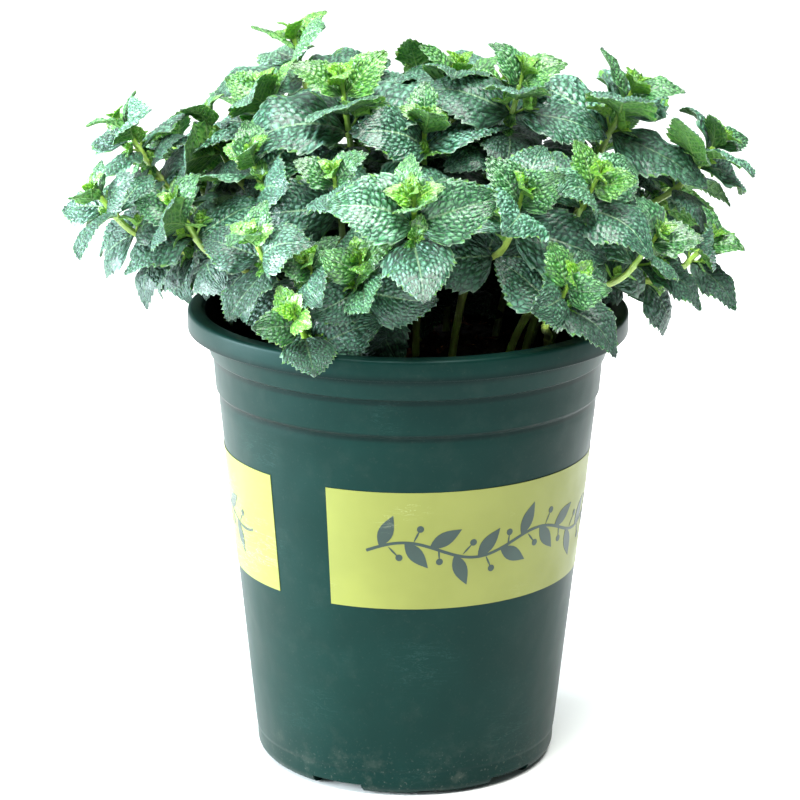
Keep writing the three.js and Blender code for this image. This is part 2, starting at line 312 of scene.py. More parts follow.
BLISTER_ROW = 2.1  # mm, from one row of blisters to the next along a leaf
BLISTER_PITCH = 1.75  # mm, from one blister to the next across it
TOOTH = 0.8  # mm, from the margin's line to a tooth's point
# How far forward the margin's corners go over each tooth, by how fine the leaf is
TOOTH_RISES = {1: [-0.4, 1.0], 2: [-0.5, 0.25, 1.0], 3: [-0.5, -0.05, 0.45, 1.0]}
LONG_LEAF = 23.0  # mm; a leaf longer than this keeps only a share of the rest of its length:
LONG_LEAF_SHARES = ([190.0, 240.0], [0.55, 1.2])  # little of it low down, more than all of it high up
CROSSING = 4  # columns of corners to every two blisters across a full leaf


def soft_step(a, b, x):
    t = np.clip((x - a) / (b - a), 0, 1)
    return t * t * (3 - 2 * t)


def outline(u):
    """Half width of a leaf at a share of its length, as a share of its greatest half width."""
    c = np.clip((u - 0.04) / 0.96, 0, 1)
    return np.maximum(np.sin(np.pi * c**0.7) ** 0.82, 0.07 * np.clip(1 - u, 0, 1))


def woven(grid, foot, tip, facing_up):
    """Triangles over rows of corners, drawn together at a leaf's foot and tip."""
    a, b, c, d = squares_of(grid)
    left = np.broadcast_to(np.arange(a.shape[1]) < a.shape[1] / 2, a.shape)[..., None]
    one = np.where(left, np.stack([a, d, b], -1), np.stack([a, c, b], -1))
    two = np.where(left, np.stack([b, d, c], -1), np.stack([a, d, c], -1))
    ends = np.full(grid.shape[1] - 1, 1)
    at_foot = np.stack([ends * foot, grid[0, :-1], grid[0, 1:]], -1)
    at_tip = np.stack([ends * tip, grid[-1, 1:], grid[-1, :-1]], -1)
    faces = np.concatenate([one.reshape(-1, 3), two.reshape(-1, 3), at_foot, at_tip])
    return faces if facing_up else faces[:, ::-1]


def blistered(strip, cell):
    """How high the face stands, from 0 in its net of veins to 1 on its blisters. Every other row of
    blisters is shifted by half a blister, and every other groove between rows is a side vein."""
    shifted = cell + 0.5 * (np.floor(strip + 1e-6) % 2)
    between = np.abs(np.sin(np.pi * strip)) ** 0.6
    minor = np.round(strip) % 2 == 1
    between = np.where(minor, 0.34 + 0.66 * between, between)
    return between * (0.08 + 0.92 * np.abs(np.sin(np.pi * shifted)) ** 0.7)


def grow_leaf(skin, foot, tip, up, dice, age, fold=0.3, bow=0.14, curl=0.45, wave=0.02, twist=0.0,
              nose=0.05, relief=0.5, width=0.76, fine=3, crossing=CROSSING, gloom=0.0):
    """One leaf: a thin closed blade with a toothed margin and sunken veins. Its rows of corners follow
    the side veins: fine of them to each row of blisters, and crossing corners to every two blisters."""
    along = tip - foot
    length = norm(along)
    along = along / length
    if length > LONG_LEAF:
        length = LONG_LEAF + np.interp(foot[2], *LONG_LEAF_SHARES) * (length - LONG_LEAF)
    side = unit(np.cross(up, along))
    face = np.cross(along, side)
    half_width = 0.5 * width * length
    strips = int(np.clip(round(length / BLISTER_ROW), 4, 14))
    cells = int(np.clip(round(half_width / BLISTER_PITCH), 2, 6))
    rows = strips * fine
    s = np.linspace(0, 1, rows + 1)[1:-1]
    v = np.linspace(-1, 1, crossing * cells + 1)
    S, V = np.meshgrid(s, np.sign(v) * np.abs(v) ** 0.94, indexing="ij")
    A = np.abs(V)
    U = S + 0.27 * (1 - S) ** 0.8 * soft_step(0.0, 0.3, S) * A**1.25
    inside = soft_step(0, 0.1, A) * (1 - soft_step(0.86, 0.95, A))
    U = U + dice.uniform(-0.2, 0.2, U.shape) / rows * inside

    # Teeth, pointing forwards: a slow rise to each point and a sudden drop to the notch after it.
    rise = np.array(TOOTH_RISES[fine])
    tooth = rise[np.arange(1, rows) % len(rise)][:, None]
    ragged = dice.uniform(0.55, 1.3, (rows - 1, 2))
    ragged = np.where(V < 0, ragged[:, :1], ragged[:, 1:])
    bite = A**11 * soft_step(0.06, 0.2, S) * (1 - soft_step(0.95, 1.0, S))
    U = np.clip(U + 0.5 / rows * tooth * bite, 0, 1)
    teeth = TOOTH * ragged * tooth * bite * min(1.0, length / 20)
    across = V * outline(U) * half_width + np.sign(V) * teeth

    # The blade's own curve.
    W = np.abs(across)
    lift = 4 * bow * length * U * (1 - U)
    lift = lift + fold * (1 - 0.4 * U) * (np.sqrt(W**2 + 0.5) - math.sqrt(0.5)) - curl * W**2 / half_width
    lift = lift - nose * length * soft_step(0.6, 1.0, U)
    for half in (V < 0, V > 0):
        turns, shift = dice.uniform(1.4, 3.2), dice.uniform(0, 6.28)
        ruffle = wave * length * np.sin(2 * np.pi * turns * U + shift) * A**2.2 * outline(U)
        lift = lift + np.where(half, ruffle, 0)

    # Blisters between the veins.
    strip = S * strips
    cell = np.broadcast_to(np.abs(v) * cells, S.shape)
    puff = blistered(strip, cell if crossing == CROSSING else 0.5 + 0 * cell)
    puff = puff * dice.uniform(0.7, 1.15, S.shape)
    puff = puff * (0.25 + 0.75 * soft_step(0.0, 0.14, A)) * soft_step(0.02, 0.12, S)
    puff = puff * (1 - 0.6 * soft_step(0.88, 1.0, A))
    swell = relief * min(1.0, 0.4 + length / 40)
    groove = 0.26 * (1 - soft_step(0.0, 0.1, A)) * (1 - S)

    def placed(u, a, h):
        roll = twist * u
        flat = a * np.cos(roll) - h * np.sin(roll)
        high = a * np.sin(roll) + h * np.cos(roll)
        return foot + (u * length)[..., None] * along + flat[..., None] * side + high[..., None] * face

    top = placed(U, across, lift + swell * puff - groove)
    ends = placed(np.array([0.0, 1.0]), np.zeros(2), np.array([0.0, -nose * length]))
    inner = np.arange(1, crossing) * cells
    rib = (1 - soft_step(0, 0.3, A[:, inner])) * (1 - 0.6 * S[:, inner])
    thick = 0.34 * (1 - A[:, inner] ** 4) + 0.5 * rib
    low = placed(U[:, inner], across[:, inner], lift[:, inner] - thick)

    first = skin.add_points(np.concatenate([top.reshape(-1, 3), ends, low.reshape(-1, 3)]))
    grid = np.arange(V.size).reshape(V.shape)
    under = V.size + 2 + np.arange(low[..., 0].size).reshape(low.shape[:2])
    under = np.concatenate([grid[:, :1], under, grid[:, -1:]], axis=1)

    def spread(values, at_foot, at_tip):
        return np.concatenate([values.ravel(), [at_foot, at_tip], values[:, inner].ravel()])

    chart = np.stack([spread(U, 0, 1) * length, spread(across, 0, 0)], -1)
    growth = fours(len(chart), age, spread(puff, 0, 0), dice.uniform(0, 1), 0.0)
    looks = {
        "blade": np.stack([spread(U, 0, 1), spread(0.5 + 0.5 * V, 0.5, 0.5)], -1),
        "veins": np.stack([spread(strip, 0, strips), spread(cell, 0, 0)], -1),
        "growth": growth,
        # The second look: whether it is stalk, how far out from the midrib, and painted shade that darkens
        # the leaf as if in shadow.
        "habit": fours(len(chart), 0.0, spread(A, 0, 1), gloom, 1.0),
    }
    foot_at, tip_at = V.size, V.size + 1
    skin.add_faces(first, woven(grid, foot_at, tip_at, True), chart, looks)
    looks["growth"] = growth * [1, 1, 1, 0] + [0, 0, 0, 1]
    skin.add_faces(first, woven(under, foot_at, tip_at, False), chart, looks)
    skin.crisp.append(first + np.concatenate([grid[:, 0], grid[:, -1], [foot_at, tip_at]]))


# ---- Stems ----

TRUNK_RADIUS, BRANCH_RADII = 1.45, [1.28, 1.15]
JOINT_SPACING = 15.0


def grow_rod(skin, line, radii, age, sides=12, square=1.0, streak=0.0):
    """A closed rod along a line, square with rounded corners as a mint stem is, or round."""
    tangents = np.gradient(line, axis=0)
    tangents /= norm(tangents, axis=1)[:, None]
    angles = np.arange(sides) * 2 * np.pi / sides
    corner = (np.abs(np.cos(angles)) ** 4 + np.abs(np.sin(angles)) ** 4) ** -0.25
    corner = 1 + square * (corner - 1) - square * 0.03 * (1 + np.cos(4 * angles))
    across = unit(np.cross(tangents[0], [0.31, 0.95, 0.05]))
    rings = []
    for point, tangent, radius in zip(line, tangents, radii):
        across = unit(across - tangent * (across @ tangent))
        ring = np.outer(np.cos(angles), across) + np.outer(np.sin(angles), np.cross(tangent, across))
        rings.append(point + ring * (radius * corner)[:, None])
    count = len(line)
    first = skin.add_points(np.concatenate([*rings, line[:1], line[-1:]]))
    ages = np.broadcast_to(age, (count,))
    run = run_along(line)
    girth = 2 * np.pi * float(np.mean(radii))
    i, j = np.meshgrid(np.arange(count), np.arange(sides + 1), indexing="ij")

    def halves(grid):
        """Two triangles for each four neighbours in a grid."""
        a, b, c, d = squares_of(grid)
        both = [np.stack(corners, 2) for corners in ([a, b, c], [a, c, d])]
        return np.concatenate(both).reshape(-1, 3, *grid.shape[2:])

    def put(faces, chart, own_ages):
        spots = chart.reshape(-1, 2)
        skin.put(faces + first, chart, {
            "blade": spots / [40.0, girth],
            "growth": fours(len(spots), own_ages.ravel(), 0.3, streak, 0.0),
            "habit": fours(len(spots), 1.0, 0.0, 0.0, 1.0),
        })

    put(halves(i * sides + j % sides), halves(np.stack([run[i], j * girth / sides], -1)), halves(ages[i]))
    ring = np.arange(sides)
    last = (count - 1) * sides + ring
    disc = np.stack([np.cos(angles), np.sin(angles)], -1) * girth / 6.28
    middles = np.full(sides, count * sides)
    ends = [(np.stack([middles, np.roll(ring, -1), ring], -1), 0)]
    ends.append((np.stack([middles + 1, last, np.roll(last, -1)], -1), -1))
    chart = np.concatenate([np.tile(disc, (count, 1)), np.zeros((2, 2))])
    for faces, at in ends:
        put(faces, chart[faces], np.full(faces.shape, float(ages[at])))


def nodes_of(line, spacing, dice):
    """Where a stem bears leaves: the joints along it, as places on the line and its directions there."""
    run = run_along(line)
    places = []
    at = run[-1] - spacing * dice.uniform(0.75, 1.0)
    while at > 5:
        i = int(np.searchsorted(run, at))
        i = min(max(i, 1), len(line) - 2)
        places.append((i, line[i], unit(line[i + 1] - line[i - 1])))
        at -= spacing * dice.uniform(0.8, 1.15)
    return places


# ---- Shoots ----

AXIS_RADII = [1.15, 0.62]  # of a shoot's axis, at its start and its tip
TIER_AGES = [1.0, 0.8, 0.52, 0.24, 0.06, 0.0]
LOW_PAINTED_SHADE = ([170, 230], [0.9, 0.0])  # painted shade on a shoot's leaves at these heights: darker low down, as if in shadow
SHAPE_PARTS = ("fold", "curl", "bow", "wave", "nose", "relief", "width")
TIER_SHAPES = [
    dict(zip(SHAPE_PARTS, shares))
    for shares in (
        (0.3, 0.44, 0.11, 0.034, 0.07, 0.8, 0.76),
        (0.34, 0.42, 0.1, 0.034, 0.06, 0.76, 0.77),
        (0.4, 0.38, 0.1, 0.034, 0.05, 0.64, 0.76),
        (0.46, 0.32, 0.1, 0.03, 0.06, 0.42, 0.72),
        (0.5, 0.3, 0.1, 0.02, 0.03, 0.36, 0.68),
        (0.5, 0.2, 0.1, 0.0, 0.0, 0.26, 0.6),
    )
]
# The youngest pairs, over the ones that the frame holds: along the axis, length, pitch
YOUNG_PAIRS = [(0.83, 0.4, 32.0), (0.94, 0.24, 48.0), (0.99, 0.13, 68.0)]
OUTWARD_FRONT, OUTWARD_BACK = 0.7, 0.15  # how far the leaves turn their faces away from the pot's axis
TO_LIGHT = np.array([-0.08, -0.34, 0.0])


def varied(shape, dice):
    """A leaf's shape, a little its own."""
    spread = {"width": (0.92, 1.08)}
    own = {k: v * dice.uniform(*spread.get(k, (0.7, 1.3))) for k, v in shape.items()}
    own["bow"] += dice.uniform(-0.1, 0.09)
    own["fold"] += 0.16 * abs(dice.normal())
    own["twist"] = dice.uniform(-0.48, 0.48)
    return own


def outward_of(place):
    """Level, away from the pot's axis, shorter near it and at the back: the plant's light was in front."""
    away = np.array([place[0], place[1], 0.0]) / 60.0
    away = away / max(1.0, norm(away))
    return away * np.interp(away[1], [-0.4, 0.6], [OUTWARD_FRONT, OUTWARD_BACK])


def leaf_pair(skin, foot, axis, heading, length, pitch, up, dice, age, shape, **more):
    """Two opposite leaves, each in its own way, from one place on an axis."""
    east, north = squares_to(axis)
    for turn in (0, math.pi):
        angle = heading + turn + dice.uniform(-0.15, 0.15)
        lean = math.radians(pitch + dice.uniform(-9, 9))
        out = swung(swung(east, north, angle), axis, lean)
        tip = foot + out * length * dice.uniform(0.88, 1.1)
        grow_leaf(skin, foot, tip, up, dice, age, **varied(shape, dice), **more)


def side_shoot(skin, place, reach, up, size, dice):
    """A small new shoot in the fork of a leaf."""
    axis = unit(reach + up * dice.uniform(0.7, 1.3))
    end = place + axis * size * dice.uniform(0.35, 0.6)
    line = np.linspace(0, 1, 6)[:, None] * (end - place) + place
    grow_rod(skin, line, np.full(len(line), 0.5), 0.15, sides=6, square=0.0)
    heading = dice.uniform(0, math.pi)
    up = unit(axis + up)
    leaf_pair(skin, line[-2], axis, heading, size, 26.0, up, dice, 0.36, TIER_SHAPES[3], fine=2)
    heading += math.pi / 2
    leaf_pair(skin, end, axis, heading, size * 0.5, 55.0, up, dice, 0.08, TIER_SHAPES[4], fine=2)


def dress_shoot(crown, dice):
    """A leafy shoot: its square axis, the leaf pairs that the frame holds, and the youngest pairs."""
    skin = Skin()
    direction, start, axis, longest = (crown[k] for k in ("direction", "start", "axis", "longest"))
    vigour = dice.uniform(-0.16, 0.1)
    rise = np.linspace(-1.0, axis * 0.99, 26)
    joints = np.array([share for share, _, _ in LEAF_PAIRS + YOUNG_PAIRS[:1]]) * axis
    swell = np.exp(-(((rise[:, None] - joints) / 0.9) ** 2)).sum(1)
    radii = np.interp(rise, [0, axis], AXIS_RADII) * (1 + 0.22 * swell)
    grow_rod(skin, start + direction * rise[:, None], radii, np.interp(rise, [0, axis], [0.5, 0.0]))
    east, north = squares_to(direction)
    up = unit(direction + outward_of(start) + TO_LIGHT)
    headings = {}
    for l in crown["leaves"]:
        tier = l["tier"]
        out = l["tip"] - l["foot"]
        headings[tier] = math.atan2(out @ north, out @ east)
        age = TIER_AGES[tier] + vigour + dice.uniform(-0.08, 0.08)
        own_up = unit(up + dice.normal(size=3) * 0.24)
        # Painted shade: some leaves at random, and more the lower they hang, are darkened as if in shadow.
        gloom = max(0.0, dice.uniform(-0.3, 0.5), np.interp(l["tip"][2], *LOW_PAINTED_SHADE)) * age
        shape = varied(TIER_SHAPES[tier], dice)
        grow_leaf(skin, l["foot"], l["tip"], own_up, dice, age, gloom=gloom, **shape)
        if tier == 0 and dice.random() < 0.8:
            side_shoot(skin, l["foot"], unit(out), direction, longest * dice.uniform(0.3, 0.46), dice)
    crown["heading"] = headings.get(0, headings.get(1, 0.0) + math.pi / 2)
    heading = headings.get(2, crown["heading"])
    for k, (share, length, pitch) in enumerate(YOUNG_PAIRS):
        heading += math.pi / 2
        age = max(0, TIER_AGES[3 + k] + 0.6 * vigour)
        foot = start + direction * axis * share
        leaf_pair(skin, foot, direction, heading, longest * length, pitch, up, dice, age, TIER_SHAPES[3 + k])
    return skin


def limits():
    """The box that the older leaves keep inside, in millimetres: a little past the frame's own."""
    low, high = (np.array(c) / MM for c in CAD_BOX)
    more = (high - low) * 0.01 + 4.0
    return low - more, high + more


BRANCH_SPACING, TRUNK_SPACING = 12.5, 13.0  # from one pair of older leaves to the next
CROWDED_SPACING = 0.58  # of that, for the stems inside and at the back
INNER_REACH, BACK_FROM = 62.0, 10.0
FORK_AT = 0.25  # of the way up a stem
BURIED_STEPS = 9  # of the trunk, from its foot to about the top of the soil
BARE_BELOW = 0.55  # how far up the stems at the front and right have lost their leaves
BARE_LEFT, BARE_BACK = -12.0, 12.0
GAP_LEFT, GAP_BACK, GAP_TOP = 0.0, -20.0, 212.0  # where the bare stems show over the rim
OLDER_SHAPE = {"fold": 0.22, "curl": 0.42, "bow": 0.15, "nose": 0.1, "width": 0.8}
TRIES = 10  # at laying an older leaf clear of the rest
FEW_TOUCHES, MOST_TOUCHES = 4, 38  # between an older leaf and its neighbours, in crossing triangles


def hangs_in_gap(tip, corners):
    """Whether a leaf would hide the bare stems at the front right."""
    return tip[0] > GAP_LEFT and tip[1] < GAP_BACK and corners[:, 2].min() < GAP_TOP


def roomiest(foot, tangent, out, up, heading, height, length, crowded, box, dice):
    """Of a few ways to lay an older leaf, the tip and the search tree of the one that touches least."""
    across = np.cross(tangent, out)
    touches, tip, tree = MOST_TOUCHES + 1, None, None
    for attempt in range(TRIES):
        angle = heading + dice.uniform(-0.3, 0.3) * (1 + attempt * 0.25)
        pitch = math.radians(np.interp(height, [0, 1], [10, -6]) + dice.uniform(-22, 16))
        reach = swung(swung(out, across, angle), tangent, pitch)
        end = foot + unit(reach - UP * 0.1 + outward_of(foot) * 0.25) * length * (1 - 0.04 * attempt)
        trial = Skin()
        grow_leaf(trial, foot, end, up, np.random.default_rng(1), 1.0, fine=1, **OLDER_SHAPE)
        corners = np.concatenate(trial.points)
        if (corners < box[0]).any() or (corners > box[1]).any() or hangs_in_gap(end, corners):
            continue
        own = trial.tree()
        found = sum(len(own.overlap(other)) for other in crowded)
        if found < touches:
            touches, tip, tree = found, end, own
        if found < FEW_TOUCHES:
            break
    return tip, tree


def lower_leaves(stem, dice, crowded, box):
    """Older leaves down the branches, wide and drooping, each kept clear of most of what is there
    already, and new shoots in their forks."""
    skin = Skin()
    crowns = stem["crowns"]
    lines = [(branch, crown, BRANCH_SPACING, FORK_AT, 1.0) for branch, crown in zip(stem["branches"], crowns)]
    lines.append((stem["trunk"][BURIED_STEPS:], crowns[0], TRUNK_SPACING, 0.0, FORK_AT))
    for line, crown, spacing, lowest, highest in lines:
        first = swung(*squares_to(crown["direction"]), crown["heading"])
        x, y, _ = crown["start"]
        if math.hypot(x, y) < INNER_REACH or y > BACK_FROM:
            spacing *= CROWDED_SPACING
        turn = 0
        for i, foot, tangent in nodes_of(line, spacing, dice):
            height = np.interp(i / len(line), [0, 1], [lowest, highest])
            if height < BARE_BELOW and foot[0] > BARE_LEFT and foot[1] < BARE_BACK:
                continue
            turn += 1
            out = unit(first - tangent * (first @ tangent))
            up = unit(tangent * 0.4 + UP * 0.5 + outward_of(foot) * 0.9 + TO_LIGHT)
            # Painted shade: the older leaves are darkened, most near the soil, as if in shadow.
            gloom = np.interp(height, [0.15, 1.0], [1.0, 0.55])
            for opposite in (0, math.pi):
                length = crown["longest"] * np.interp(height, [0, 1], [0.85, 1.2]) * dice.uniform(0.9, 1.08)
                way = turn * math.pi / 2 + opposite
                tip, tree = roomiest(foot, tangent, out, up, way, height, length, crowded, box, dice)
                if tip is None:
                    continue
                look = {"gloom": gloom, "relief": 0.42, "fine": 2, "crossing": 2}
                grow_leaf(skin, foot, tip, up, dice, 1.05 - 0.1 * height, **look, **OLDER_SHAPE)
                crowded.append(tree)
                if height > 0.45 and dice.random() < 0.55:
                    size = dice.uniform(6.5, 10.5)
                    side_shoot(skin, foot, unit(tip - foot), unit(tangent + UP), size, dice)
    return skin


def dress_stem(stem):
    """A stem from under the soil to its shoots, square, with a swelling wherever it bears leaves."""
    skin = Skin()
    trunk = stem["trunk"]
    from_fork = np.arange(len(trunk)) - len(trunk) + 2
    radii = TRUNK_RADIUS * (1 + 0.16 * np.exp(-((from_fork / 2.0) ** 2)))
    grow_rod(skin, trunk, radii, 1.0, streak=0.9)
    for branch in stem["branches"]:
        run = np.linspace(0, 1, len(branch))
        radii = np.interp(run, [0, 1], BRANCH_RADII)
        for i, _, _ in nodes_of(branch, JOINT_SPACING, np.random.default_rng(len(branch))):
            radii = radii * (1 + 0.2 * np.exp(-(((np.arange(len(branch)) - i) / 1.2) ** 2)))
        grow_rod(skin, branch, radii, np.interp(run, [0, 1], [0.9, 0.5]), streak=0.6)
    return skin


# ---- Pot, labels and soil ----

RIDGE_HEIGHT, RIDGE_RADIUS, TAPER = 11.0, 59.3, 0.1045
POT_TURNS, POT_HEIGHT = 144, 180.0
SLOT_COUNT, FIRST_SLOT = 5, -117.0  # degrees
SLOTS_OUT = 60.2
SLOT_SIZES = [(21, 18, 4.0, 0.0), (8, 10, 2.0, 0.5)]  # width, depth, height, place between two wide ones

# The pot's section as [radius, height, how far its corner is rounded]
POT_SECTION = [
    (0, 5, 0), (50, 5, 0.4), (50, 0, 0.5), (53.2, 0, 0.4), (56.6, 0.9, 1.6), (58.7, 3.4, 1.8),
    (58.95, 9.8, 0.3), (59.3, 11, 0.5), (61.9, 36, 0), (64.6, 62, 0), (67.3, 88, 0), (70.1, 114, 0),
    (73.1, 143.4, 1.2), (73.15, 147.4, 0.4), (74.35, 148.6, 0.4), (74.9, 155.5, 0), (75.4, 162.2, 0.3),
    (76.55, 162.8, 0.35), (78.8, 172, 0.3), (79.4, 177.4, 0.5), (82.9, 177.4, 0.4), (83, 172, 0.3),
    (85, 172, 0.45), (85, 180, 1.5), (78.4, 180, 1.5), (77.3, 172, 0.5), (75.2, 163.4, 0.6),
    (74.1, 161.8, 0.6), (72.9, 149.8, 0.6), (70.6, 147, 0.5), (70.6, 145, 0.5), (71.7, 142.6, 0.6),
    (57.9, 11, 0.5), (56.9, 6.5, 0.6), (0, 6.5, 0),
]


def softened(section):
    """A section with its corners rounded."""
    points = []
    for k, (r, z, reach) in enumerate(section):
        here = np.array([r, z], float)
        if not reach:
            points.append(here)
            continue
        a, b = (np.array(section[n][:2], float) - here for n in (k - 1, k + 1))
        a, b = (here + unit(way) * min(reach, 0.45 * norm(way)) for way in (a, b))
        for t in (0, 0.25, 0.5, 0.75, 1):
            points.append(a * (1 - t) ** 2 + 2 * here * t * (1 - t) + b * t * t)
    return np.array(points)


def turned(section, turns):
    """Corners and faces of a turned body. Points on the axis are drawn once."""
    angles = np.arange(turns) * 2 * np.pi / turns
    points, rows = [], []
    for r, z in section:
        if r < 1e-6:
            rows.append([len(points)] * turns)
            points.append([0, 0, z])
        else:
            rows.append(list(range(len(points), len(points) + turns)))
            points.extend(np.stack([r * np.cos(angles), r * np.sin(angles), np.full(turns, z)], -1))
    faces = []
    for lower, upper in zip(rows, rows[1:]):
        for i in range(turns):
            j = (i + 1) % turns
            faces.append(list(dict.fromkeys([lower[i], lower[j], upper[j], upper[i]])))
    return np.array(points, float), faces


def block(width, depth, height, angle):
    """Corners and faces of a box at the pot's foot, turned about its axis."""
    c, s = math.cos(angle), math.sin(angle)
    inside, side = SLOTS_OUT - depth, width / 2
    points = []
    for z in (-0.5, height):
        for x, y in ((inside, -side), (SLOTS_OUT, -side), (SLOTS_OUT, side), (inside, side)):
            points.append([x * c - y * s, x * s + y * c, z])
    return points, [[3, 2, 1, 0], [4, 5, 6, 7], [0, 1, 5, 4], [1, 2, 6, 5], [2, 3, 7, 6], [3, 0, 4, 7]]


def gather(parts):
    """Several bodies' corners and faces as one."""
    points, faces = [], []
    for p, f in parts:
        count = sum(len(x) for x in points)
        points.append(p)
        faces += [[c + count for c in face] for face in f]
    return np.concatenate(points), faces


def dress_pot(plastic):
    points, faces = turned(softened(POT_SECTION), POT_TURNS)
    # Thin walls are never quite round.
    angle = np.arctan2(points[:, 1], points[:, 0])
    height = points[:, 2] / POT_HEIGHT
    give = 0.12 * np.sin(3 * angle + 0.6) * height + 0.1 * np.sin(5 * angle + 4 * height)
    out = norm(points[:, :2], axis=1)
    points[:, :2] *= (1 + np.where(out > 1, give, 0) / np.maximum(out, 1))[:, None]
    pot = plain_piece("pot_shell", points, faces, plastic)
    slots = []
    for i in range(SLOT_COUNT):
        for width, depth, height, between in SLOT_SIZES:
            turn = math.radians(FIRST_SLOT + (i + between) * 360 / SLOT_COUNT)
            slots.append(block(width, depth, height, turn))
    cutter = plain_piece("slots", *gather(slots))
    cut = pot.modifiers.new("slots", "BOOLEAN")
    cut.operation, cut.solver, cut.object = "DIFFERENCE", "EXACT", cutter
    bpy.context.view_layer.update()
    ready = bpy.data.meshes.new_from_object(pot.evaluated_get(bpy.context.evaluated_depsgraph_get()))
    pot.modifiers.clear()
    pot.data = ready
    bpy.data.objects.remove(cutter)
    ready.shade_smooth()
    ready.set_sharp_from_angle(angle=math.radians(50))
    settle(pot, "pot_plastic", "pot")


LABEL_LOW, LABEL_HIGH = 79.0, 126.0
LABEL_SPANS = [(-25.0, 134.0), (155.0, 314.0)]  # degrees from the front, towards +X
SPRIG_MARGIN, SPRIG_WAVE, SPRIG_SWING, SPRIG_HALF = 15.0, 56.0, 3.6, 0.55


def patch_on_wall(turns, heights, near, far):
    """A thin closed plate that follows the wall, from near to far in front of it. turns, in degrees from
    the front, and heights are grids of the same shape."""
    points = []
    for proud in (far, near):
        a = np.radians(turns) - np.pi / 2
        r = RIDGE_RADIUS + TAPER * (heights - RIDGE_HEIGHT) + proud
        points.append(np.stack([r * np.cos(a), r * np.sin(a), heights], -1).reshape(-1, 3))
    g = np.arange(turns.size).reshape(turns.shape)
    outer = np.stack(squares_of(g), -1).reshape(-1, 4)
    faces = np.stack([outer, outer[:, ::-1] + turns.size], 1).reshape(-1, 4).tolist()
    loop = [*g[0, :-1], *g[:-1, -1], *g[-1, :0:-1], *g[:0:-1, 0]]
    for a, b in zip(loop, loop[1:] + loop[:1]):
        faces.append([b, a, a + turns.size, b + turns.size])
    return np.concatenate(points), faces


def sprig_leaf(x, z, heading, length, width):
    """A lens-shaped leaf of the label's ornament, on the flat, as grids of run and height."""
    u = np.linspace(0, 1, 9)[:, None]
    v = np.linspace(-1, 1, 3)[None]
    along = u * length + 0 * v
    across = v * width / 2 * np.sin(np.pi * np.clip(u, 0.01, 0.99) ** 0.85)
    c, s = math.cos(heading), math.sin(heading)
    return x + along * c - across * s, z + along * s + across * c


def sprig_parts(start, end):
    """A running sprig along a label: a waving stem with a leaf and a stalked berry at each side in turn."""
    middle = (LABEL_LOW + LABEL_HIGH) / 2
    run = math.radians(end - start) * (RIDGE_RADIUS + TAPER * (middle - RIDGE_HEIGHT))
    line = np.linspace(SPRIG_MARGIN, run - SPRIG_MARGIN, 110)
    rise = SPRIG_SWING * np.sin(2 * np.pi * (line - SPRIG_MARGIN) / SPRIG_WAVE)
    slope = np.gradient(rise, line)
    thick = SPRIG_HALF * np.array([[-1.0], [1.0]])
    parts = [(line + thick * -slope, middle + rise + thick)]
    around = np.linspace(0, 2 * np.pi, 15)[:, None]
    reach = np.array([[0.05, 0.8, 1.35]])
    at, turn = SPRIG_MARGIN + 5, 1
    while at < run - SPRIG_MARGIN - 8:
        z = middle + float(np.interp(at, line, rise))
        lean = math.atan(float(np.interp(at, line, slope)))
        stalk_x, stalk_z = sprig_leaf(at + 3.2, z, lean - turn * 1.15, 6.0, 0.7)
        parts.append(sprig_leaf(at, z, lean + turn * 0.85, 13.5, 5.6))
        parts.append((stalk_x, stalk_z))
        parts.append((stalk_x[-1, 2] + reach * np.cos(around), stalk_z[-1, 2] + reach * np.sin(around)))
        at += 9.4
        turn = -turn
    return [patch_on_wall(start + x * (end - start) / run, z, 0.2, 0.3) for x, z in parts]


def dress_labels(film, ink):
    panels, sprigs = [], []
    for start, end in LABEL_SPANS:
        turns, heights = np.meshgrid(np.linspace(start, end, 90), np.linspace(LABEL_LOW, LABEL_HIGH, 9))
        panels.append(patch_on_wall(turns, heights, 0.02, 0.22))
        sprigs += sprig_parts(start, end)
    for name, parts, material in (("labels", panels, film), ("label_sprigs", sprigs, ink)):
        piece = plain_piece(name, *gather(parts), material)
        piece.data.set_sharp_from_angle(angle=math.radians(40))
        settle(piece, "pot_plastic")


SOIL_RADIUS, SOIL_TURNS = 73.2, 176
CRUMBS, LUMP_CORNERS = 620, 26
HEAP = ([0, 44, SOIL_RADIUS], [161, 159.4, SOIL_EDGE])  # the height of the soil's top over its radius


def rough_lump(dice, size, stretch):
    """A crumb of potting mix or a chip of bark."""
    golden = math.pi * (3 - math.sqrt(5))
    k = np.arange(LUMP_CORNERS)
    z = 1 - 2 * (k + 0.5) / LUMP_CORNERS
    r = np.sqrt(1 - z * z)
    ball = np.stack([r * np.cos(golden * k), r * np.sin(golden * k), z], -1)
    ball *= dice.uniform(0.72, 1.2, (LUMP_CORNERS, 1))
    ball = ball * size * np.array(stretch)
    spin = Matrix.Rotation(dice.uniform(0, 6.28), 3, Vector(dice.normal(size=3)).normalized())
    return ball @ np.array(spin).T


def hull_faces(points):
    """The corners and faces of the hull round some points."""
    shape = bmesh.new()
    for p in points:
        shape.verts.new(p)
    bmesh.ops.convex_hull(shape, input=shape.verts)
    loose = [v for v in shape.verts if not v.link_faces]
    bmesh.ops.delete(shape, geom=loose, context="VERTS")
    shape.verts.index_update()
    corners = np.array([v.co for v in shape.verts])
    faces = [[v.index for v in f.verts] for f in shape.faces]
    shape.free()
    return corners, faces


